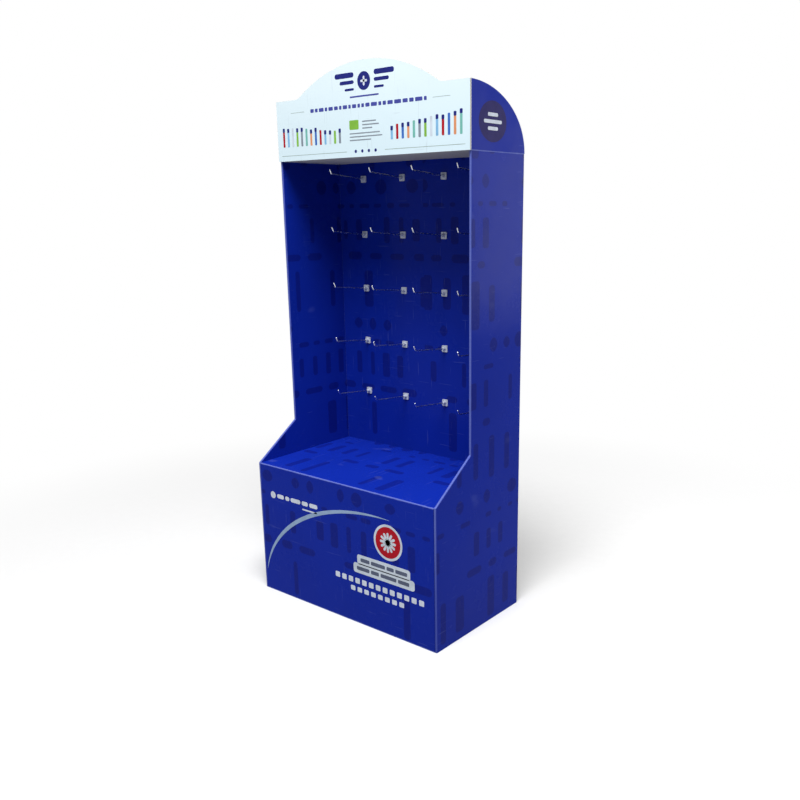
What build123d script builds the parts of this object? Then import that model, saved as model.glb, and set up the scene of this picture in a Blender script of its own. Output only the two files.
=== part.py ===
from build123d import *
import math
import os

# Floor-standing corrugated display: a U-shaped body with doubled side walls,
# a base insert that folds into front panel and shelf, a boxed header and
# wire hooks in moulded clips. Millimetres, +Z up, front towards -Y.

# ---- Overall sizes ----
body_width = 690.0
base_depth = 390.0
upper_depth = 238.0
header_bottom = 1290.0

# ---- Body and base ----
board = 3.5
base_height = 410.0
slope_rise = 107.0
fold_radius = 3.0
glue_flange = 40.0
flange_relief = 5.0
rear_flange = 60.0
lap_clearance = 0.4
support_end_gap = 0.5

# ---- Header ----
header_board = 5.0
wing_height = 163.0
shoulder_width = 90.0
arch_rise = 78.0
shoulder_fillet = 45.0
tray_front_flange = 60.0
tab_length = 50.0
tab_height = 14.0
tab_inset = 45.0
slot_clearance = 0.3

# ---- Hooks ----
hook_rows = 5
hook_columns = 4
column_margin = 104.0
top_row_drop = 47.0
bottom_row_rise = 173.0
hook_reach = 145.0
hook_tilt = 5.0
wire_diameter = 4.0
tip_length = 9.0
tip_turn = 58.0
bend_radius = 6.0
tip_round = 1.6
wire_fit = 0.05

# ---- Hook clips ----
plate_size = 20.0
plate_thickness = 3.0
plate_corner = 2.5
boss_length = 10.0
boss_base_radius = 6.0
boss_nose_radius = 3.6
wire_seat_depth = 2.0
neck_diameter = 7.0
latch_width = 7.0
latch_height = 16.0
latch_thickness = 3.0
latch_slot_clearance = 1.0

# ---- Derived places ----
wall = 2 * board
half_width = body_width / 2
half_inner = half_width - wall
front_y = -(base_depth + latch_thickness) / 2
back_y = front_y + base_depth
upper_y = back_y - upper_depth
panel_y = back_y - board
slope_top = base_height + slope_rise
shelf_under = base_height - board
edge_radius = min(fold_radius, 0.45 * wall)
column_pitch = 2 * (half_inner - column_margin) / (hook_columns - 1)
row_pitch = (header_bottom - top_row_drop - base_height - bottom_row_rise) / (hook_rows - 1)


def block(x0, x1, y0, y1, z0, z1):
    """Box from its lowest to its highest corner."""
    size = (x1 - x0, y1 - y0, z1 - z0)
    return Pos((x0 + x1) / 2, (y0 + y1) / 2, (z0 + z1) / 2) * Box(*size)


def both_sides(shape):
    """A piece and its mirror image across the middle plane."""
    return [shape, mirror(shape, about=Plane.YZ)]


def on_side(face, x0, thickness):
    """Extrudes a (y, z) profile along X from x0."""
    return extrude(Plane.YZ.offset(x0) * face, amount=thickness)


def edges_along(shape, test):
    return [edge for edge in shape.edges() if test(edge)]


# ---- Body: doubled side walls and the back, one sheet ----
def side_wall():
    profile = Polygon(
        (front_y, 0),
        (back_y, 0),
        (back_y, header_bottom),
        (upper_y, header_bottom),
        (upper_y, slope_top),
        (front_y, base_height),
        align=None,
    )
    shape = on_side(profile, half_inner, wall)

    def is_front_fold(edge):
        low, high = edge.position_at(0), edge.position_at(1)
        lengthwise = abs(low.X - high.X) < 0.01
        ahead = max(low.Y, high.Y) < upper_y + 0.01 and abs(low.Z - high.Z) > 1
        return lengthwise and ahead

    return fillet(edges_along(shape, is_front_fold), edge_radius)


def wall_tabs():
    """Tabs of the inner ply that locate the header tray."""
    tabs = []
    for y in (upper_y + tab_inset, back_y - tab_inset):
        tabs.append(
            block(
                half_inner,
                half_inner + board,
                y - tab_length / 2,
                y + tab_length / 2,
                header_bottom,
                header_bottom + tab_height,
            )
        )
    return tabs


def hook_places():
    """Name and slot centre (x, z) of each hook, top row first."""
    for row in range(hook_rows):
        for column in range(hook_columns):
            x = -half_inner + column_margin + column * column_pitch
            z = header_bottom - top_row_drop - row * row_pitch
            yield f"r{row + 1}_c{column + 1}", x, z


def make_body():
    back = block(-half_inner, half_inner, panel_y, back_y, 0, header_bottom)
    body = back
    for wall_side in both_sides(side_wall()):
        body += wall_side
    for tab in wall_tabs():
        for piece in both_sides(tab):
            body += piece

    def is_back_fold(edge):
        centre = edge.center()
        upright = abs(edge.tangent_at(0.5).Z) > 0.99
        return upright and abs(centre.Y - back_y) < 0.01 and abs(centre.X) > half_inner + 1

    body = fillet(edges_along(body, is_back_fold), edge_radius)
    slot_x = latch_height / 2 + latch_slot_clearance / 2
    slot_z = latch_width / 2 + latch_slot_clearance / 2
    for _, x, z in hook_places():
        body -= block(x - slot_x, x + slot_x, panel_y - 1, back_y + 1, z - slot_z, z + slot_z)
    return body


# ---- Base insert: front panel and shelf, one sheet ----
def make_base_insert():
    front = block(-half_inner, half_inner, front_y, front_y + board, 0, base_height)
    shelf = block(-half_inner, half_inner, front_y, panel_y, shelf_under, base_height)
    rear = block(
        -half_inner + glue_flange,
        half_inner - glue_flange,
        panel_y - board,
        panel_y,
        base_height - rear_flange,
        base_height,
    )
    insert = front + shelf + rear
    inner_x = half_inner - board
    low_z = glue_flange + flange_relief
    high_z = base_height - glue_flange
    shelf_flange = block(
        inner_x,
        half_inner,
        front_y + glue_flange + flange_relief,
        panel_y - glue_flange,
        high_z,
        base_height,
    )
    front_flange = block(
        inner_x, half_inner, front_y, front_y + glue_flange, low_z, high_z - flange_relief
    )
    for piece in both_sides(shelf_flange) + both_sides(front_flange):
        insert += piece

    def is_top_fold(edge):
        centre = edge.center()
        return abs(centre.Y - front_y) < 0.01 and abs(centre.Z - base_height) < 0.01

    return fillet(edges_along(insert, is_top_fold), edge_radius)


# ---- Base tray: floor of the base with four raised flanges ----
def make_base_tray():
    y0, y1 = front_y + board, panel_y
    tray = block(-half_inner, half_inner, y0, y1, 0, board)
    end_gap = glue_flange + flange_relief
    side = block(half_inner - board, half_inner, y0 + end_gap, y1 - end_gap, 0, glue_flange)
    for piece in both_sides(side):
        tray += piece
    for y in (y0, y1 - board):
        tray += block(-half_inner + board, half_inner - board, y, y + board, 0, glue_flange)
    return tray


# ---- Supports: two boards that cross in half laps under the shelf ----
support_y = (front_y + panel_y + board) / 2
lap_height = (board + shelf_under) / 2


def make_support_long():
    reach = half_inner - board - support_end_gap
    y0, y1 = support_y - board / 2, support_y + board / 2
    sheet = block(-reach, reach, y0, y1, board, shelf_under)
    half_lap = (board + lap_clearance) / 2
    return sheet - block(-half_lap, half_lap, y0 - 1, y1 + 1, lap_height, shelf_under + 1)


def make_support_cross():
    y0 = front_y + 2 * board + support_end_gap
    y1 = panel_y - board - support_end_gap
    sheet = block(-board / 2, board / 2, y0, y1, board, shelf_under)
    half_lap = (board + lap_clearance) / 2
    cut = block(-board, board, support_y - half_lap, support_y + half_lap, 0, lap_height)
    return sheet - cut


# ---- Header tray: ceiling, wings and glue flanges, one sheet ----
def wing_profile():
    arc = EllipticalCenterArc(
        (upper_y, header_bottom),
        x_radius=upper_depth,
        y_radius=wing_height,
        start_angle=0,
        arc_size=90,
    )
    corner = (upper_y, header_bottom)
    return make_face(arc + Polyline(arc @ 1, corner, arc @ 0))


def make_header_tray():
    top = header_bottom + board
    tray = block(-half_width, half_width, upper_y, back_y, header_bottom, top)
    wing = on_side(wing_profile(), half_width - board, board)
    wing_flange = block(
        half_width - glue_flange,
        half_width,
        upper_y,
        upper_y + board,
        top + flange_relief,
        header_bottom + wing_height - 2 * flange_relief,
    )
    for piece in both_sides(wing) + both_sides(wing_flange):
        tray += piece
    flange_x = half_width - glue_flange - flange_relief
    tray += block(
        -flange_x, flange_x, upper_y, upper_y + board, header_bottom, header_bottom + tray_front_flange
    )
    for tab in wall_tabs():
        box = tab.bounding_box()
        slot = block(
            box.min.X - slot_clearance,
            box.max.X,
            box.min.Y - slot_clearance,
            box.max.Y + slot_clearance,
            header_bottom - 1,
            top + 1,
        )
        for piece in both_sides(slot):
            tray -= piece
    return tray


# ---- Header front: arched panel in front of the wings ----
def make_header_front():
    shoulder = header_bottom + wing_height
    arch_half = half_width - shoulder_width
    arch = ThreePointArc((arch_half, shoulder), (0, shoulder + arch_rise), (-arch_half, shoulder))
    rest = Polyline(
        (-arch_half, shoulder),
        (-half_width, shoulder),
        (-half_width, header_bottom),
        (half_width, header_bottom),
        (half_width, shoulder),
        (arch_half, shoulder),
    )
    outline = make_face(arch + rest)
    panel = extrude(Plane.XZ.offset(-upper_y) * outline, amount=header_board)

    def is_shoulder(edge):
        centre = edge.center()
        along_y = abs(edge.tangent_at(0.5).Y) > 0.99
        at_arch = abs(abs(centre.X) - arch_half) < 0.01
        return along_y and at_arch and abs(centre.Z - shoulder) < 0.01

    return fillet(edges_along(panel, is_shoulder), shoulder_fillet)


# ---- Hooks: a bent wire in a moulded clip that locks behind the back ----
def wire_axis():
    """Unit vector of the wire, out of the clip and slightly upwards."""
    tilt = math.radians(hook_tilt)
    return Vector(0, -math.cos(tilt), math.sin(tilt))


def make_wire(x, z):
    tilt = math.radians(hook_tilt)
    rise = math.radians(hook_tilt + tip_turn)
    tip_step = Vector(0, -math.cos(rise), math.sin(rise)) * (tip_length + bend_radius)
    start = Vector(x, panel_y, z) + wire_axis() * (plate_thickness - wire_seat_depth)
    run = (hook_reach + tip_step.Y) / math.cos(tilt) - (plate_thickness - wire_seat_depth)
    bend = start + wire_axis() * run
    path = FilletPolyline(start, bend, bend + tip_step, radius=bend_radius)
    section = Plane(origin=start, z_dir=wire_axis()) * Circle(wire_diameter / 2)
    wire = sweep(section, path=path)
    tip = wire.edges().sort_by(Axis.Z)[-1]
    ends = [edge for edge in wire.edges() if abs(edge.center().Z - tip.center().Z) < 0.5]
    return fillet(ends, tip_round)


def make_clip(x, z):
    seat = Vector(x, panel_y, z)
    plate = Box(plate_size, plate_thickness, plate_size)
    plate = fillet(plate.edges().filter_by(Axis.Y), plate_corner)
    clip = Pos(x, panel_y - plate_thickness / 2, z) * plate
    boss_start = seat + wire_axis() * (plate_thickness - 1)
    boss_plane = Plane(origin=boss_start, z_dir=wire_axis())
    boss = Cone(
        boss_base_radius,
        boss_nose_radius,
        boss_length + 1,
        align=(Align.CENTER, Align.CENTER, Align.MIN),
    )
    clip += boss_plane * boss
    neck = Cylinder(
        neck_diameter / 2, board, align=(Align.CENTER, Align.CENTER, Align.MIN)
    )
    clip += Plane(origin=seat, z_dir=(0, 1, 0)) * neck
    latch = Box(latch_width, latch_thickness, latch_height)
    latch = fillet(latch.edges().filter_by(Axis.Y), latch_width * 0.4)
    clip += Pos(x, back_y + latch_thickness / 2, z) * latch
    bore_start = seat + wire_axis() * (plate_thickness - wire_seat_depth - wire_fit)
    bore = Cylinder(
        wire_diameter / 2 + wire_fit,
        boss_length + plate_thickness,
        align=(Align.CENTER, Align.CENTER, Align.MIN),
    )
    return clip - Plane(origin=bore_start, z_dir=wire_axis()) * bore


def save(name, shape):
    solids = shape.solids()
    export_step(solids[0] if len(solids) == 1 else Compound(children=solids), f"parts/{name}.step")


def main():
    os.makedirs("parts", exist_ok=True)
    save("body_wrap", make_body())
    save("base_insert", make_base_insert())
    save("base_tray", make_base_tray())
    save("support_long", make_support_long())
    save("support_cross", make_support_cross())
    save("header_tray", make_header_tray())
    save("header_front", make_header_front())
    for name, x, z in hook_places():
        save(f"hook_wire_{name}", make_wire(x, z))
        save(f"hook_clip_{name}", make_clip(x, z))


main()
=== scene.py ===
import math
import random

import bmesh
import bpy
from mathutils import Matrix, Vector


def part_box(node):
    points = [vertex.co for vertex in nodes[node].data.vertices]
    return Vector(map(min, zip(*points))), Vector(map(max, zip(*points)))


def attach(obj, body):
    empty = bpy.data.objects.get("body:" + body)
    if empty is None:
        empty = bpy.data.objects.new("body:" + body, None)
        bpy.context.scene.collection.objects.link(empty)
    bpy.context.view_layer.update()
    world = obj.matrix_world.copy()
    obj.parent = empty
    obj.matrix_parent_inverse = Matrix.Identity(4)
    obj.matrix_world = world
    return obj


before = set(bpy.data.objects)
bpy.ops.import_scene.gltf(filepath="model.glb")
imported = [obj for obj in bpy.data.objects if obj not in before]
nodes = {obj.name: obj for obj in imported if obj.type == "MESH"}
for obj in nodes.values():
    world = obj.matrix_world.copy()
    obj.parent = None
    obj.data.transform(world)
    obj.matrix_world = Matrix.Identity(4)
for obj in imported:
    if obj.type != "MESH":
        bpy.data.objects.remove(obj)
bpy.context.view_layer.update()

# ---- Places read from the frame, in metres ----
body_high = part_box("body_wrap")[1]
insert_low, insert_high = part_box("base_insert")
tray_low, tray_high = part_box("header_tray")
front_low, front_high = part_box("header_front")

half_width = body_high.x
half_inner = insert_high.x
base_front_y = insert_low.y
back_y = body_high.y
upper_y = tray_low.y
header_face_y = front_low.y
base_top = insert_high.z
header_bottom = tray_low.z
wing_top = tray_high.z
slope_rise = 0.107


# ---- Colours: written as display values, used as linear ones ----
def linear(red, green, blue):
    def one(value):
        share = value / 255
        return share / 12.92 if share <= 0.04045 else ((share + 0.055) / 1.055) ** 2.4

    return (one(red), one(green), one(blue), 1.0)


INK_BLUE = linear(15, 42, 160)
INK_NAVY = linear(13, 22, 108)
# Lavender of rubbed-off ink, used also as the colour of painted highlights along edges and folds.
INK_WORN_AND_HIGHLIGHT = linear(128, 142, 205)
INK_EMBLEM = linear(38, 32, 96)
LINER = linear(205, 206, 204)
LINER_SHADE = linear(176, 172, 160)
CORE = linear(150, 122, 92)
KRAFT = linear(176, 140, 98)
KRAFT_DARK = linear(140, 106, 70)
HEADER_WHITE = linear(222, 238, 245)
HEADER_SHADE = linear(214, 234, 243)
PRINT_WHITE = linear(214, 222, 236)
PRINT_GREY = linear(120, 128, 140)
PRINT_NAVY = linear(38, 44, 120)
PRINT_VIOLET = linear(72, 78, 158)
PRINT_RED = linear(176, 26, 40)
PRINT_GREEN = linear(132, 186, 72)
PRINT_RULE = linear(158, 176, 170)


# ---- Node wiring ----
class Value:
    """A socket's value, with arithmetic that adds Math nodes."""

    def __init__(self, wiring, socket):
        self.wiring = wiring
        self.socket = socket

    def __add__(self, other):
        return self.wiring.maths("ADD", self, other)

    def __radd__(self, other):
        return self.wiring.maths("ADD", other, self)

    def __sub__(self, other):
        return self.wiring.maths("SUBTRACT", self, other)

    def __rsub__(self, other):
        return self.wiring.maths("SUBTRACT", other, self)

    def __mul__(self, other):
        return self.wiring.maths("MULTIPLY", self, other)

    def __rmul__(self, other):
        return self.wiring.maths("MULTIPLY", other, self)

    def __truediv__(self, other):
        return self.wiring.maths("DIVIDE", self, other)

    def __abs__(self):
        return self.wiring.maths("ABSOLUTE", self)

    def floor(self):
        return self.wiring.maths("FLOOR", self)

    def wave(self):
        return self.wiring.maths("SINE", self)

    def above(self, limit):
        return self.wiring.maths("GREATER_THAN", self, limit)

    def below(self, limit):
        return self.wiring.maths("LESS_THAN", self, limit)


class Wiring:
    """Adds nodes to one shader tree and joins values or sockets to them."""

    def __init__(self, tree):
        self.tree = tree

    def node(self, kind, inputs=None, **settings):
        made = self.tree.nodes.new("ShaderNode" + kind)
        for key, value in settings.items():
            setattr(made, key, value)
        for key, value in (inputs or {}).items():
            self.join(value, made.inputs[key])
        return made

    def join(self, value, socket):
        if isinstance(value, Value):
            self.tree.links.new(value.socket, socket)
        else:
            socket.default_value = value

    def maths(self, operation, *values):
        return Value(self, self.node("Math", dict(enumerate(values)), operation=operation).outputs[0])

    def least(self, first, *others):
        for other in others:
            first = self.maths("MINIMUM", first, other)
        return first

    def most(self, first, *others):
        for other in others:
            first = self.maths("MAXIMUM", first, other)
        return first

    def smooth(self, value, start, end):
        """0 before start, 1 past end, and an even step between them."""
        inputs = {"Value": value, "From Min": start, "From Max": end}
        made = self.node("MapRange", inputs, interpolation_type="SMOOTHSTEP")
        return Value(self, made.outputs["Result"])

    def scaled(self, value, low, high):
        """A value from 0 to 1 stretched to run from low to high."""
        inputs = {"Value": value, "To Min": low, "To Max": high}
        return Value(self, self.node("MapRange", inputs).outputs["Result"])

    def mix(self, share, first, second):
        made = self.node("Mix", data_type="RGBA", clamp_factor=True)
        colours = [socket for socket in made.inputs if socket.type == "RGBA"]
        self.join(share, made.inputs["Factor"])
        self.join(first, colours[0])
        self.join(second, colours[1])
        result = [socket for socket in made.outputs if socket.type == "RGBA"]
        return Value(self, result[0])

    def noise(self, vector, scale, detail=2.0, roughness=0.5):
        inputs = {"Vector": vector, "Scale": scale, "Detail": detail, "Roughness": roughness}
        return Value(self, self.node("TexNoise", inputs).outputs["Fac"])

    def random(self, u, v, seed):
        """An even random number from 0 to 1 for each whole u, v."""
        place = self.pack(u, v, seed)
        made = self.node("TexWhiteNoise", {"Vector": place}, noise_dimensions="3D")
        return Value(self, made.outputs["Value"])

    def pack(self, x, y, z):
        return Value(self, self.node("CombineXYZ", {"X": x, "Y": y, "Z": z}).outputs["Vector"])

    def split(self, vector):
        made = self.node("SeparateXYZ", {"Vector": vector})
        return [Value(self, socket) for socket in made.outputs]

    def stretch(self, vector, x, y, z):
        made = self.node("Mapping", {"Vector": vector, "Scale": (x, y, z)})
        return Value(self, made.outputs["Vector"])

    def bump(self, height, distance, strength=1.0):
        inputs = {"Height": height, "Distance": distance, "Strength": strength}
        return Value(self, self.node("Bump", inputs).outputs["Normal"])

    def use(self, group, **given):
        """Places a node group and returns its outputs by name, with _ for spaces."""
        made = self.tree.nodes.new("ShaderNodeGroup")
        made.node_tree = group
        for key, value in given.items():
            self.join(value, made.inputs[key.replace("_", " ")])
        return {out.name.replace(" ", "_"): Value(self, out) for out in made.outputs}


SOCKETS = {"vector": "NodeSocketVector", "number": "NodeSocketFloat", "colour": "NodeSocketColor"}


def shader_group(name, inputs, outputs, build):
    """A node group with named sockets. build takes a Wiring and its inputs, and returns its outputs."""
    tree = bpy.data.node_groups.new(name, "ShaderNodeTree")
    for in_out, sockets in (("INPUT", inputs), ("OUTPUT", outputs)):
        for label, kind in sockets.items():
            tree.interface.new_socket(label, in_out=in_out, socket_type=SOCKETS[kind])
    wiring = Wiring(tree)
    entry = tree.nodes.new("NodeGroupInput")
    leave = tree.nodes.new("NodeGroupOutput")
    given = [Value(wiring, entry.outputs[label]) for label in inputs]
    for label, value in build(wiring, *given).items():
        wiring.join(value, leave.inputs[label])
    return tree


# ---- Shared effects ----
FACING_LIMIT = 0.75  # a normal this far along an axis faces that way
FLAT_LIMIT = 0.985  # below this the surface is turning round a fold


def build_facing(w, normal):
    nx, ny, nz = w.split(normal)
    along = w.most(abs(nx), abs(ny), abs(nz))
    return {
        "Side": abs(nx).above(FACING_LIMIT),
        "Front": ny.below(-FACING_LIMIT),
        "Back": ny.above(FACING_LIMIT),
        "Level": abs(nz).above(FACING_LIMIT),
        "Fold": along.below(FLAT_LIMIT),
    }


FACING = shader_group(
    "surface_facing",
    {"Normal": "vector"},
    {"Side": "number", "Front": "number", "Back": "number", "Level": "number", "Fold": "number"},
    build_facing,
)


def build_board_relief(w, vector, across, pitch, ripple, warp):
    """Flutes that show faintly through the liner, and the slow warp of a large sheet."""
    flutes = (across * (2 * math.pi) / pitch).wave() * ripple
    slow = w.noise(vector, 3.2, 1.5) * warp
    local = w.noise(vector, 17.0, 2.0) * warp * 0.12
    fibres = w.noise(vector, 900.0, 2.0) * 0.00001
    return {"Height": flutes + slow + local + fibres}


BOARD_RELIEF = shader_group(
    "board_relief",
    {"Vector": "vector", "Across": "number", "Pitch": "number", "Ripple": "number", "Warp": "number"},
    {"Height": "number"},
    build_board_relief,
)


def build_edge_wear_and_highlight(w, vector, distance, width, amount):
    """Lightening within a width of an edge, in uneven patches: ink cracked and rubbed off, and along the
    shelf's front fold a painted highlight as well.
    """
    patches = w.noise(vector, 60.0, 4.0, 0.65)
    reach = width * w.scaled(patches, 0.3, 1.7)
    near = 1.0 - w.smooth(distance / reach, 0.35, 1.0)
    return {"Wear_And_Highlight": near * amount * w.scaled(w.noise(vector, 210.0, 3.0), 0.55, 1.25)}


EDGE_WEAR_AND_HIGHLIGHT = shader_group(
    "edge_rub",
    {"Vector": "vector", "Distance": "number", "Width": "number", "Amount": "number"},
    {"Wear_And_Highlight": "number"},
    build_edge_wear_and_highlight,
)


def build_scuffs(w, vector):
    """Handling marks: soft blotches, and thin scratches in two directions."""
    blotch = w.smooth(w.noise(vector, 6.0, 4.0, 0.6), 0.42, 0.68)
    fine = w.smooth(w.noise(vector, 42.0, 3.0, 0.6), 0.45, 0.7)
    streak_1 = w.smooth(w.noise(w.stretch(vector, 260.0, 9.0, 14.0), 1.0, 1.0), 0.7, 0.78)
    streak_2 = w.smooth(w.noise(w.stretch(vector, 12.0, 14.0, 240.0), 1.0, 1.0), 0.71, 0.79)
    return {"Blotch": blotch, "Fine": fine, "Scratch": w.most(streak_1, streak_2)}


SCUFFS = shader_group(
    "handling_scuffs",
    {"Vector": "vector"},
    {"Blotch": "number", "Fine": "number", "Scratch": "number"},
    build_scuffs,
)


def build_bar_row(w, u, v, row, cell, half_length, half_height, corner, density, seed):
    """One row of round-cornered bars of uneven size, centred on v = 0."""
    shifted = u + w.random(row, 3.0, seed) * cell
    column = (shifted / cell).floor()
    local = shifted - (column + 0.5) * cell
    wide = half_length * w.scaled(w.random(row, column, seed + 1.0), 0.45, 1.0)
    tall = half_height * w.scaled(w.random(row, column, seed + 2.0), 0.7, 1.0)
    out_u = w.most(abs(local) - (wide - corner), 0.0)
    out_v = w.most(abs(v) - (tall - corner), 0.0)
    inside = corner - w.maths("SQRT", out_u * out_u + out_v * out_v)
    shape = w.smooth(inside, -0.0006, 0.0006)
    return {"Mask": shape * w.random(row, column, seed + 3.0).below(density)}


BAR_ROW = shader_group(
    "bar_row",
    {
        "U": "number",
        "V": "number",
        "Row": "number",
        "Cell": "number",
        "Half Length": "number",
        "Half Height": "number",
        "Corner": "number",
        "Density": "number",
        "Seed": "number",
    },
    {"Mask": "number"},
    build_bar_row,
)

# Rows of one repeat of the tone print, from the bottom up:
# height of the row, cell length, half length, half height, corner radius, share of cells filled
TONE_ROWS = (
    (0.150, 0.074, 0.019, 0.062, 0.010, 0.62),
    (0.054, 0.088, 0.038, 0.013, 0.013, 0.70),
    (0.104, 0.058, 0.015, 0.040, 0.008, 0.66),
    (0.040, 0.054, 0.023, 0.008, 0.008, 0.72),
    (0.070, 0.062, 0.024, 0.022, 0.022, 0.55),
)
TONE_REPEAT = sum(row[0] for row in TONE_ROWS)


def build_tone_print(w, u, v, seed):
    """Tone-on-tone bars and discs in rows of five sizes."""
    block = (v / TONE_REPEAT).floor()
    place = v - block * TONE_REPEAT
    total, start = None, 0.0
    for number, (height, cell, half_length, half_height, corner, density) in enumerate(TONE_ROWS):
        row = w.use(
            BAR_ROW,
            U=u,
            V=place - (start + height / 2),
            Row=block,
            Cell=cell,
            Half_Length=half_length,
            Half_Height=half_height,
            Corner=corner,
            Density=density,
            Seed=seed + 7.0 * number,
        )["Mask"]
        total = row if total is None else w.most(total, row)
        start += height
    return {"Mask": total}


TONE_PRINT = shader_group(
    "tone_print",
    {"U": "number", "V": "number", "Seed": "number"},
    {"Mask": "number"},
    build_tone_print,
)


def build_cut_edge(w, along, across, thickness, pitch):
    """The fluted core between two liners, as a cut edge shows it."""
    level = across / thickness
    flute = (along * (2 * math.pi) / pitch).wave() * 0.36
    core = 1.0 - w.smooth(abs(level - flute), 0.05, 0.14)
    liner = w.smooth(abs(level), 0.38, 0.44)
    return {"Paper": w.most(core, liner)}


CUT_EDGE = shader_group(
    "cut_edge",
    {"Along": "number", "Across": "number", "Thickness": "number", "Pitch": "number"},
    {"Paper": "number"},
    build_cut_edge,
)


# ---- Materials ----
def material(name):
    """A new material with its wiring, its Principled shader and its object coordinates."""
    made = bpy.data.materials.new(name)
    made.use_nodes = True
    tree = made.node_tree
    tree.nodes.clear()
    w = Wiring(tree)
    shader = w.node("BsdfPrincipled")
    leave = w.node("OutputMaterial")
    tree.links.new(shader.outputs["BSDF"], leave.inputs["Surface"])
    coordinates = w.node("TexCoord")
    vector = Value(w, coordinates.outputs["Object"])
    normal = Value(w, coordinates.outputs["Normal"])
    return made, w, shader, vector, normal


FLUTE_PITCH = 0.0066
HEADER_FLUTE_PITCH = 0.0078
BOARD_THICKNESS = 0.0035
REAR_LAP = 0.034  # width of the printed strip wrapped round each rear corner
FILM_SPECULAR = 0.035
BARE_ROUGHNESS = 0.82
RIPPLE = 0.00001  # how far the flutes lift the liner
HEADER_RIPPLE = 0.000012


def film_finish(shader):
    """The satin film over litho print."""
    shader.inputs["Specular IOR Level"].default_value = FILM_SPECULAR


def bare_liner(w, vector):
    """Unprinted liner, with its fibres."""
    return w.mix(w.noise(vector, 220.0, 4.0, 0.7), LINER, LINER_SHADE)


def outline_distance(w, y, z):
    """Distance inside the side wall's outline: front edges, slope, back, top and bottom."""
    run = upper_y - base_front_y
    slant = math.hypot(run, slope_rise)
    slope = ((y - base_front_y) * slope_rise - (z - base_top) * run) / slant
    lower = w.least(y - base_front_y, slope)
    ahead = w.most(y - upper_y, lower)
    return w.least(ahead, back_y - y, z, header_bottom - z)


def ink_colour(w, vector, tone, lightened, scuffs):
    """Blue print, darker tone shapes, uneven ink, and a pale lavender both where the ink has rubbed off and
    where a painted highlight lies along an edge or fold.
    """
    blue = w.mix(w.noise(vector, 4.0, 3.0), INK_BLUE, linear(14, 36, 142))
    print_colour = w.mix(tone * 0.62, blue, INK_NAVY)
    marked = w.mix(scuffs["Scratch"] * 0.10, print_colour, INK_WORN_AND_HIGHLIGHT)
    return w.mix(lightened, marked, INK_WORN_AND_HIGHLIGHT)


def make_body_board():
    made, w, shader, vector, normal = material("printed_body_board")
    x, y, z = w.split(vector)
    facing = w.use(FACING, Normal=normal)
    scuffs = w.use(SCUFFS, Vector=vector)
    side = facing["Side"]
    outer = side * abs(x).above((half_width + half_inner) / 2)
    across = side * y + (1.0 - side) * x
    seed = 11.0 + outer * 20.0 + x.above(0.0) * 40.0 + (1.0 - side) * 80.0
    tone = w.use(TONE_PRINT, U=across, V=z, Seed=seed)["Mask"]
    edge = outline_distance(w, y, z)
    side_rub = w.use(EDGE_WEAR_AND_HIGHLIGHT, Vector=vector, Distance=edge, Width=0.0016, Amount=0.5)["Wear_And_Highlight"]
    # Wall front edges: pale patches that are partly cracked ink and partly a painted highlight, weaker
    # towards the floor as painted shade.
    wall_edge = abs(x).above(half_inner - 0.0002) * (1.0 - side) * (1.0 - facing["Back"])
    edge_patchiness = w.scaled(w.noise(w.stretch(vector, 40.0, 40.0, 420.0), 1.0, 3.0, 0.6), 0.32, 0.62)
    painted_shade_toward_floor = w.scaled(w.smooth(z, 0.05, base_top), 0.35, 1.0)
    edge_rub = wall_edge * edge_patchiness * painted_shade_toward_floor
    # Fold fillets take a quarter of the lavender as a painted highlight.
    lightened = w.most(side * side_rub, edge_rub, facing["Fold"] * 0.25)
    ink = ink_colour(w, vector, tone * (1.0 - wall_edge), lightened, scuffs)
    bare_back = facing["Back"] * abs(x).below(half_width - REAR_LAP)
    liner = bare_liner(w, vector)
    ends = facing["Level"] * w.most(z.below(0.002), z.above(header_bottom - 0.002))
    bare = w.most(bare_back, ends)
    w.join(w.mix(bare, ink, liner), shader.inputs["Base Color"])
    rough = w.scaled(scuffs["Blotch"], 0.20, 0.28) + scuffs["Fine"] * 0.05 + lightened * 0.3
    w.join(w.most(rough, bare * BARE_ROUGHNESS), shader.inputs["Roughness"])
    relief = w.use(BOARD_RELIEF, Vector=vector, Across=across, Pitch=FLUTE_PITCH, Ripple=RIPPLE, Warp=0.0035)
    step = facing["Back"] * w.smooth(abs(x), half_width - REAR_LAP - 0.0006, half_width - REAR_LAP) * 0.0006
    w.join(w.bump(relief["Height"] + step, 1.0), shader.inputs["Normal"])
    film_finish(shader)
    return made


def make_insert_board():
    made, w, shader, vector, normal = material("printed_insert_board")
    x, y, z = w.split(vector)
    facing = w.use(FACING, Normal=normal)
    scuffs = w.use(SCUFFS, Vector=vector)
    level = facing["Level"]
    down_sheet = level * (y - base_front_y) + (1.0 - level) * (z - base_top)
    tone = w.use(TONE_PRINT, U=x, V=down_sheet, Seed=151.0)["Mask"]
    # The shelf's front fold is lightened in patches: cracked ink, with a painted highlight along the fold.
    fold_gap = w.most(abs(y - base_front_y), abs(z - base_top))
    fold = w.use(EDGE_WEAR_AND_HIGHLIGHT, Vector=vector, Distance=fold_gap, Width=0.0042, Amount=0.55)["Wear_And_Highlight"]
    foot = w.use(EDGE_WEAR_AND_HIGHLIGHT, Vector=vector, Distance=z, Width=0.0028, Amount=0.7)["Wear_And_Highlight"]
    ink = ink_colour(w, vector, tone, w.most(fold, foot), scuffs)
    inside = w.most(
        facing["Back"], level * z.below(base_top - 0.002), facing["Front"] * y.above(base_front_y + 0.002)
    )
    w.join(w.mix(inside, ink, bare_liner(w, vector)), shader.inputs["Base Color"])
    rough = w.scaled(scuffs["Blotch"], 0.20, 0.30) + scuffs["Fine"] * 0.06
    w.join(w.most(rough, inside * BARE_ROUGHNESS), shader.inputs["Roughness"])
    relief = w.use(BOARD_RELIEF, Vector=vector, Across=x, Pitch=FLUTE_PITCH, Ripple=RIPPLE, Warp=0.0045)
    w.join(w.bump(relief["Height"], 1.0), shader.inputs["Normal"])
    film_finish(shader)
    return made


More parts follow.
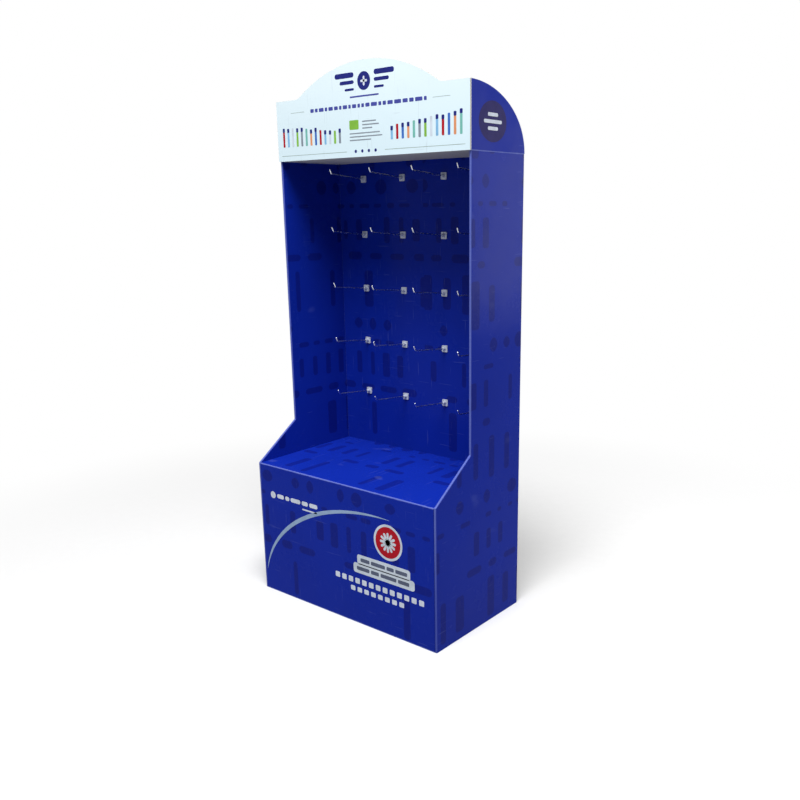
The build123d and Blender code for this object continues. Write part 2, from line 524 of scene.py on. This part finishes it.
def make_header_tray_board():
    made, w, shader, vector, normal = material("printed_wing_board")
    x, y, z = w.split(vector)
    facing = w.use(FACING, Normal=normal)
    scuffs = w.use(SCUFFS, Vector=vector)
    outer = facing["Side"] * abs(x).above(half_width - 0.0005)
    reach_y = (y - upper_y) / (back_y - upper_y)
    reach_z = (z - header_bottom) / (wing_top - header_bottom)
    round_gap = (1.0 - w.maths("SQRT", reach_y * reach_y + reach_z * reach_z)) * 0.19
    gap = w.least(round_gap, z - header_bottom, y - upper_y)
    lightened = w.use(EDGE_WEAR_AND_HIGHLIGHT, Vector=vector, Distance=gap, Width=0.0018, Amount=0.55)["Wear_And_Highlight"]
    ink = ink_colour(w, vector, 0.0, lightened, scuffs)
    liner = bare_liner(w, vector)
    middle = half_width - BOARD_THICKNESS / 2
    cut = w.use(CUT_EDGE, Along=y, Across=abs(x) - middle, Thickness=BOARD_THICKNESS, Pitch=FLUTE_PITCH)
    edge = w.mix(cut["Paper"], CORE, liner)
    rim = (1.0 - facing["Side"]) * abs(x).above(half_width - 0.0036) * z.above(header_bottom + 0.004)
    board = w.mix(rim, liner, edge)
    w.join(w.mix(outer, board, ink), shader.inputs["Base Color"])
    w.join(
        w.most(w.scaled(scuffs["Blotch"], 0.3, 0.42), (1.0 - outer) * BARE_ROUGHNESS),
        shader.inputs["Roughness"],
    )
    relief = w.use(BOARD_RELIEF, Vector=vector, Across=y, Pitch=FLUTE_PITCH, Ripple=RIPPLE, Warp=0.0035)
    w.join(w.bump(relief["Height"], 1.0), shader.inputs["Normal"])
    film_finish(shader)
    return made


def make_header_board():
    made, w, shader, vector, normal = material("printed_header_board")
    x, y, z = w.split(vector)
    facing = w.use(FACING, Normal=normal)
    scuffs = w.use(SCUFFS, Vector=vector)
    face = facing["Front"]
    shade = w.mix(w.smooth(z, header_bottom, front_high.z), HEADER_SHADE, HEADER_WHITE)
    marked = w.mix(scuffs["Scratch"] * 0.12, shade, PRINT_GREY)
    liner = bare_liner(w, vector)
    middle = (header_face_y + upper_y) / 2
    side = facing["Side"]
    along = side * z + (1.0 - side) * x
    cut = w.use(
        CUT_EDGE,
        Along=along,
        Across=y - middle,
        Thickness=upper_y - header_face_y,
        Pitch=HEADER_FLUTE_PITCH,
    )
    edge = w.mix(cut["Paper"], linear(196, 190, 178), linear(238, 244, 244))
    rim = w.most(side, facing["Level"], facing["Fold"])
    board = w.mix(rim, liner, edge)
    w.join(w.mix(face, board, marked), shader.inputs["Base Color"])
    w.join(w.most(w.scaled(scuffs["Blotch"], 0.28, 0.38), (1.0 - face) * 0.8), shader.inputs["Roughness"])
    relief = w.use(
        BOARD_RELIEF,
        Vector=vector,
        Across=x,
        Pitch=HEADER_FLUTE_PITCH,
        Ripple=HEADER_RIPPLE,
        Warp=0.003,
    )
    dents = rim * (1.0 - cut["Paper"]) * -0.0008
    w.join(w.bump(relief["Height"] + dents, 1.0), shader.inputs["Normal"])
    film_finish(shader)
    return made


def make_kraft_board():
    made, w, shader, vector, normal = material("plain_kraft_board")
    x, y, z = w.split(vector)
    fibres = w.noise(w.stretch(vector, 1.0, 1.0, 0.35), 260.0, 5.0, 0.75)
    specks = w.smooth(w.noise(vector, 700.0, 2.0), 0.68, 0.76)
    base = w.mix(w.smooth(fibres, 0.3, 0.7), KRAFT, KRAFT_DARK)
    w.join(w.mix(specks * 0.5, base, linear(96, 70, 44)), shader.inputs["Base Color"])
    w.join(w.scaled(fibres, 0.78, 0.92), shader.inputs["Roughness"])
    relief = w.use(BOARD_RELIEF, Vector=vector, Across=x + y, Pitch=FLUTE_PITCH, Ripple=0.00006, Warp=0.003)
    w.join(w.bump(relief["Height"], 1.0), shader.inputs["Normal"])
    shader.inputs["Specular IOR Level"].default_value = 0.2
    return made


def make_zinc_wire():
    made, w, shader, vector, normal = material("zinc_wire")
    drawn = w.noise(w.stretch(vector, 1.0, 0.08, 1.0), 1400.0, 3.0)
    bloom = w.smooth(w.noise(vector, 90.0, 4.0), 0.4, 0.7)
    w.join(w.mix(bloom, linear(226, 228, 232), linear(196, 200, 206)), shader.inputs["Base Color"])
    w.join(w.scaled(bloom, 0.26, 0.42), shader.inputs["Roughness"])
    w.join(w.bump(drawn, 0.00004), shader.inputs["Normal"])
    shader.inputs["Metallic"].default_value = 1.0
    return made


def make_clip_plastic():
    made, w, shader, vector, normal = material("milky_clip_plastic")
    grain = w.noise(vector, 1100.0, 2.0)
    cloud = w.noise(vector, 70.0, 3.0)
    w.join(w.mix(cloud, linear(208, 214, 224), linear(186, 194, 208)), shader.inputs["Base Color"])
    w.join(w.scaled(cloud, 0.34, 0.48), shader.inputs["Roughness"])
    w.join(w.bump(grain, 0.00005), shader.inputs["Normal"])
    shader.inputs["Specular IOR Level"].default_value = 0.5
    return made


def make_print_ink(name, colour, roughness=0.34):
    """Printed colour under the same film as the board round it."""
    made, w, shader, vector, normal = material(name)
    uneven = w.noise(vector, 38.0, 4.0, 0.6)
    dark = tuple(0.86 * part for part in colour[:3]) + (1.0,)
    w.join(w.mix(w.smooth(uneven, 0.35, 0.7), colour, dark), shader.inputs["Base Color"])
    w.join(w.scaled(uneven, roughness - 0.05, roughness + 0.06), shader.inputs["Roughness"])
    film_finish(shader)
    return made


def dress(node_names, finish):
    for name in node_names:
        piece = nodes[name]
        piece.data.materials.clear()
        piece.data.materials.append(finish)


wires = sorted(name for name in nodes if name.startswith("hook_wire"))
clips = sorted(name for name in nodes if name.startswith("hook_clip"))
dress(["body_wrap"], make_body_board())
dress(["base_insert"], make_insert_board())
dress(["header_tray"], make_header_tray_board())
dress(["header_front"], make_header_board())
dress(["base_tray", "support_long", "support_cross"], make_kraft_board())
dress(wires, make_zinc_wire())
dress(clips, make_clip_plastic())


# ---- Printed shapes: thin plates of ink that lie in a board face ----
INK_PROUD = 0.00012
INK_SUNK = 0.00005


class PrintedFace:
    """A board face that takes printed shapes, drawn in its own right and up directions."""

    def __init__(self, name, origin, right, up):
        right, up = Vector(right), Vector(up)
        out = right.cross(up)
        turn = Matrix((right, up, out)).transposed().to_4x4()
        self.name = name
        self.place = Matrix.Translation(Vector(origin)) @ turn
        self.layers = {}

    def layer(self, colour_name):
        if colour_name not in self.layers:
            self.layers[colour_name] = bmesh.new()
        return self.layers[colour_name]

    def finish(self, inks, slot):
        """Makes one piece for each colour and lays it in the face."""
        for colour_name, bm in self.layers.items():
            bm.transform(self.place)
            bmesh.ops.recalc_face_normals(bm, faces=bm.faces)
            name = f"{self.name}_{colour_name}"
            mesh = bpy.data.meshes.new(name)
            bm.to_mesh(mesh)
            bm.free()
            mesh.materials.append(inks[colour_name])
            piece = bpy.data.objects.new(name, mesh)
            bpy.context.scene.collection.objects.link(piece)
            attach(piece, "root")


def thicken(bm, faces, lift=0.0):
    """Gives flat faces the thickness of the ink, with their backs just under the board's face."""
    grown = bmesh.ops.extrude_face_region(bm, geom=faces)
    top = [part for part in grown["geom"] if isinstance(part, bmesh.types.BMVert)]
    bottom = list({vert for face in faces if face.is_valid for vert in face.verts})
    bmesh.ops.translate(bm, verts=top, vec=(0, 0, INK_PROUD + lift))
    bmesh.ops.translate(bm, verts=bottom, vec=(0, 0, -INK_SUNK))


def bar(bm, x, y, width, height, corner, turn=0.0, lift=0.0):
    """A round-cornered bar centred on x, y."""
    grid = bmesh.ops.create_grid(bm, x_segments=1, y_segments=1, size=0.5)
    verts = grid["verts"]
    bmesh.ops.scale(bm, vec=(width, height, 1), verts=verts)
    radius = min(corner, 0.499 * min(width, height))
    rounded = bmesh.ops.bevel(
        bm,
        geom=verts,
        offset=radius,
        offset_type="OFFSET",
        affect="VERTICES",
        segments=5,
        profile=0.5,
        material=-1,
    )
    verts = list({vert for face in rounded["faces"] for vert in face.verts} | set(rounded["verts"]))
    faces = list({face for vert in verts for face in vert.link_faces})
    bmesh.ops.rotate(bm, verts=verts, cent=(0, 0, 0), matrix=Matrix.Rotation(turn, 3, "Z"))
    bmesh.ops.translate(bm, verts=verts, vec=(x, y, 0))
    thicken(bm, faces, lift)


def disc(bm, x, y, width, height, sides=64, lift=0.0):
    """A round or oval plate centred on x, y."""
    made = bmesh.ops.create_circle(bm, cap_ends=True, segments=sides, radius=0.5)
    verts = made["verts"]
    faces = list({face for vert in verts for face in vert.link_faces})
    bmesh.ops.scale(bm, vec=(width, height, 1), verts=verts)
    bmesh.ops.translate(bm, verts=verts, vec=(x, y, 0))
    thicken(bm, faces, lift)


def swoosh(bm, centre, radii, start, sweep, widest, steps=40):
    """A stripe along an elliptical arc that tapers to a point at both ends."""
    grid = bmesh.ops.create_grid(bm, x_segments=steps, y_segments=1, size=0.5)
    verts = grid["verts"]
    faces = list({face for vert in verts for face in vert.link_faces})
    for vert in verts:
        share = vert.co.x + 0.5
        angle = math.radians(start + sweep * share)
        half = widest * (math.sin(math.pi * min(max(share, 0.004), 0.996)) ** 0.7) * vert.co.y
        vert.co.x = centre[0] + (radii[0] + half) * math.cos(angle)
        vert.co.y = centre[1] + (radii[1] + half) * math.sin(angle)
    thicken(bm, faces)


# ---- Header print ----
def print_header(inks):
    face = PrintedFace("header_print", (0, header_face_y, header_bottom), (1, 0, 0), (0, 0, 1))
    draw = random.Random(7)

    # Ornament under the arch: a disc between tapering bars.
    navy = face.layer("navy")
    middle_z = 0.189
    disc(navy, 0, middle_z, 0.046, 0.046)
    for side in (-1, 1):
        for number, (length, height) in enumerate(((0.070, 0.013), (0.052, 0.009), (0.034, 0.006))):
            rise = (number - 1) * 0.018
            bar(navy, side * (0.036 + length / 2), middle_z - rise, length, height, 0.007)
    bar(face.layer("white"), 0, middle_z, 0.024, 0.006, 0.003, lift=INK_PROUD)
    bar(face.layer("white"), 0, middle_z, 0.006, 0.024, 0.003, lift=INK_PROUD)
    bar(face.layer("violet"), 0.0, 0.152, 0.104, 0.004, 0.002)

    # A line of short dashes between two fine rules.
    violet = face.layer("violet")
    x = -0.205
    while x < 0.205:
        length = draw.uniform(0.008, 0.024)
        bar(violet, x + length / 2, 0.129, length, 0.0095, 0.002)
        x += length + 0.005
    rule = face.layer("rule")
    for side in (-1, 1):
        bar(rule, side * 0.258, 0.129, 0.055, 0.0011, 0.0005)

    # Upright bars with dark caps, in two fans that step down to the middle.
    tones = ("grey", "sky", "orange", "green", "red", "teal", "pale", "blue")
    for side in (-1, 1):
        for number in range(13):
            tone = tones[(number * 3 + (side > 0)) % len(tones)]
            tall = 0.034 + 0.020 * (number / 12) + draw.uniform(-0.004, 0.004)
            x = side * (0.094 + number * 0.0187)
            bar(face.layer(tone), x, 0.038 + tall / 2, 0.0078, tall, 0.0022)
            if number % 3 != 1:
                bar(navy, x, 0.038 + tall - 0.004, 0.0086, 0.011, 0.0022, lift=INK_PROUD)

    # Middle block: a green square and grey lines.
    bar(face.layer("green"), -0.040, 0.082, 0.034, 0.024, 0.003)
    grey = face.layer("grey")
    for number, length in enumerate((0.050, 0.060, 0.036)):
        bar(grey, -0.010 + length / 2, 0.089 - number * 0.0085, length, 0.0032, 0.0015)
    for number, length in enumerate((0.110, 0.118, 0.078)):
        bar(grey, -0.057 + length / 2, 0.060 - number * 0.0085, length, 0.0030, 0.0015)

    # Bottom rule with four dots in its gap.
    for side in (-1, 1):
        bar(rule, side * 0.200, 0.0145, 0.262, 0.0013, 0.0006)
    for number in range(4):
        disc(face.layer("navy"), -0.036 + number * 0.024, 0.0145, 0.0085, 0.0085, sides=24)
    face.finish(inks, "printed_white_board")


# ---- Base front print ----
def print_base(inks):
    face = PrintedFace("base_print", (0, base_front_y, 0), (1, 0, 0), (0, 0, 1))

    # White bars and a disc at the upper left.
    white = face.layer("white")
    disc(white, -0.286, 0.318, 0.022, 0.022, sides=32)
    x = -0.268
    for length in (0.030, 0.018, 0.042, 0.026, 0.034):
        bar(white, x + length / 2, 0.318, length, 0.013, 0.006)
        x += length + 0.006
    bar(white, -0.128, 0.299, 0.062, 0.0045, 0.002)

    # A long tapering stripe that climbs from the lower left.
    swoosh(face.layer("stripe"), (0.150, 0.020), (0.487, 0.322), 172.0, -86.0, 0.0125)

    # A red rosette with a pale border over a pale label.
    pale = face.layer("pale")
    red = face.layer("red")
    disc(pale, 0.178, 0.276, 0.104, 0.104)
    disc(red, 0.178, 0.276, 0.090, 0.090, lift=INK_PROUD)
    for number in range(6):
        angle = math.pi * number / 6
        bar(pale, 0.178, 0.276, 0.058, 0.0075, 0.0035, turn=angle, lift=2 * INK_PROUD)
    bar(pale, 0.158, 0.199, 0.196, 0.030, 0.008)
    bar(pale, 0.158, 0.172, 0.226, 0.030, 0.008)
    grey = face.layer("slate")
    for row, z in enumerate((0.199, 0.172)):
        x = 0.158 - (0.085 if row == 0 else 0.100)
        for length in (0.034, 0.052, 0.026, 0.042) if row == 0 else (0.048, 0.030, 0.058, 0.040):
            bar(grey, x + length / 2, z, length, 0.011, 0.003, lift=INK_PROUD)
            x += length + 0.006

    # Two lines of small pale squares.
    for number in range(13):
        bar(white, -0.020 + number * 0.0262, 0.131, 0.0175, 0.0165, 0.003)
    for number in range(8):
        bar(white, 0.040 + number * 0.0262, 0.105, 0.0175, 0.0145, 0.003)
    face.finish(inks, "printed_blue_board")


# ---- Emblems on the wings ----
def print_wings(inks):
    middle = upper_y + 0.091
    for side, label in ((1, "right"), (-1, "left")):
        origin = (side * half_width, middle, header_bottom + 0.071)
        face = PrintedFace(f"wing_print_{label}", origin, (0, side, 0), (0, 0, 1))
        disc(face.layer("emblem"), 0, 0, 0.120, 0.098, sides=96)
        white = face.layer("white")
        for number, length in enumerate((0.044, 0.078, 0.044)):
            bar(white, 0, (number - 1) * 0.0165, length, 0.0085, 0.004, lift=INK_PROUD)
        face.finish(inks, "printed_blue_board")


INKS = {
    "navy": make_print_ink("ink_navy", PRINT_NAVY),
    "violet": make_print_ink("ink_violet", PRINT_VIOLET),
    "white": make_print_ink("ink_white", PRINT_WHITE),
    "pale": make_print_ink("ink_pale", linear(205, 216, 228)),
    "stripe": make_print_ink("ink_stripe", linear(150, 174, 206)),
    "slate": make_print_ink("ink_slate", linear(92, 100, 122)),
    "grey": make_print_ink("ink_grey", linear(136, 146, 158)),
    "rule": make_print_ink("ink_rule", PRINT_RULE),
    "emblem": make_print_ink("ink_emblem", INK_EMBLEM),
    "red": make_print_ink("ink_red", PRINT_RED),
    "green": make_print_ink("ink_green", PRINT_GREEN),
    "sky": make_print_ink("ink_sky", linear(132, 184, 224)),
    "orange": make_print_ink("ink_orange", linear(222, 150, 110)),
    "teal": make_print_ink("ink_teal", linear(120, 186, 176)),
    "blue": make_print_ink("ink_blue", linear(64, 110, 190)),
}
print_header(INKS)
print_base(INKS)
print_wings(INKS)


# ---- Floor, light and camera ----
def seen_directly(w):
    """1 for rays that show the background: straight, mirrored or through glass."""
    path = w.node("LightPath")
    kinds = ("Is Camera Ray", "Is Glossy Ray", "Is Transmission Ray")
    return w.most(*[Value(w, path.outputs[kind]) for kind in kinds])


def make_floor():
    made = bpy.data.materials.new("pale_floor")
    made.use_nodes = True
    tree = made.node_tree
    tree.nodes.clear()
    w = Wiring(tree)
    vector = Value(w, w.node("TexCoord").outputs["Object"])
    x, y, z = w.split(vector)
    far = w.smooth(w.maths("SQRT", x * x + y * y), 0.9, 2.2)
    matt = w.node("BsdfDiffuse")
    tone = w.scaled(seen_directly(w), 0.36, 0.78) * w.scaled(w.noise(vector, 30.0, 3.0), 0.98, 1.02)
    w.join(w.pack(tone, tone, tone), matt.inputs["Color"])
    glow = w.node("Emission", {"Color": (1.0, 1.0, 1.0, 1.0), "Strength": 1.0})
    blend = w.node("MixShader")
    w.join(seen_directly(w) * far, blend.inputs["Fac"])
    tree.links.new(matt.outputs[0], blend.inputs[1])
    tree.links.new(glow.outputs[0], blend.inputs[2])
    tree.links.new(blend.outputs[0], w.node("OutputMaterial").inputs["Surface"])
    bm = bmesh.new()
    bmesh.ops.create_circle(bm, cap_ends=True, segments=96, radius=6.0)
    mesh = bpy.data.meshes.new("floor")
    bm.to_mesh(mesh)
    bm.free()
    mesh.materials.append(made)
    floor = bpy.data.objects.new("floor", mesh)
    floor.location.z = -0.0005
    bpy.context.scene.collection.objects.link(floor)


AMBIENT = 0.30


def make_world():
    world = bpy.data.worlds.new("studio")
    world.use_nodes = True
    tree = world.node_tree
    tree.nodes.clear()
    w = Wiring(tree)
    strength = w.scaled(seen_directly(w), AMBIENT, 1.0)
    sky = w.node("Background", {"Color": (1.0, 1.0, 1.0, 1.0), "Strength": strength})
    tree.links.new(sky.outputs[0], w.node("OutputWorld").inputs["Surface"])
    bpy.context.scene.world = world


def add_softbox(name, place, aim, size, power):
    light = bpy.data.lights.new(name, "AREA")
    light.shape = "RECTANGLE"
    light.size, light.size_y = size
    light.energy = power
    lamp = bpy.data.objects.new(name, light)
    lamp.location = place
    lamp.rotation_euler = (Vector(aim) - Vector(place)).to_track_quat("-Z", "Y").to_euler()
    bpy.context.scene.collection.objects.link(lamp)


def make_camera():
    azimuth, elevation, roll = (math.radians(angle) for angle in (39.02, 14.71, -0.62))
    aim, distance = Vector((0.1704, 0.0, 0.545)), 2.3834
    ahead = Vector(
        (
            -math.sin(azimuth) * math.cos(elevation),
            math.cos(azimuth) * math.cos(elevation),
            -math.sin(elevation),
        )
    )
    right = Vector((math.cos(azimuth), math.sin(azimuth), 0.0))
    up = right.cross(ahead)
    turned_right = math.cos(roll) * right + math.sin(roll) * up
    turned_up = math.cos(roll) * up - math.sin(roll) * right
    turn = Matrix((turned_right, turned_up, -ahead)).transposed().to_4x4()
    lens = bpy.data.cameras.new("camera")
    lens.sensor_width = 36.0
    lens.lens = 38.08
    lens.shift_x, lens.shift_y = -0.0375, 0.04
    camera = bpy.data.objects.new("camera", lens)
    camera.matrix_world = Matrix.Translation(aim - ahead * distance) @ turn
    bpy.context.scene.collection.objects.link(camera)
    bpy.context.scene.camera = camera


make_floor()
make_world()
add_softbox("top_softbox", (1.0, -1.65, 5.0), (0.0, 0.0, 0.7), (2.6, 2.2), 350.0)
add_softbox("side_softbox", (2.04, 2.545, 1.28), (0.345, 0.07, 1.28), (1.5, 1.5), 24.0)
make_camera()
bpy.context.scene.view_settings.view_transform = "Standard"
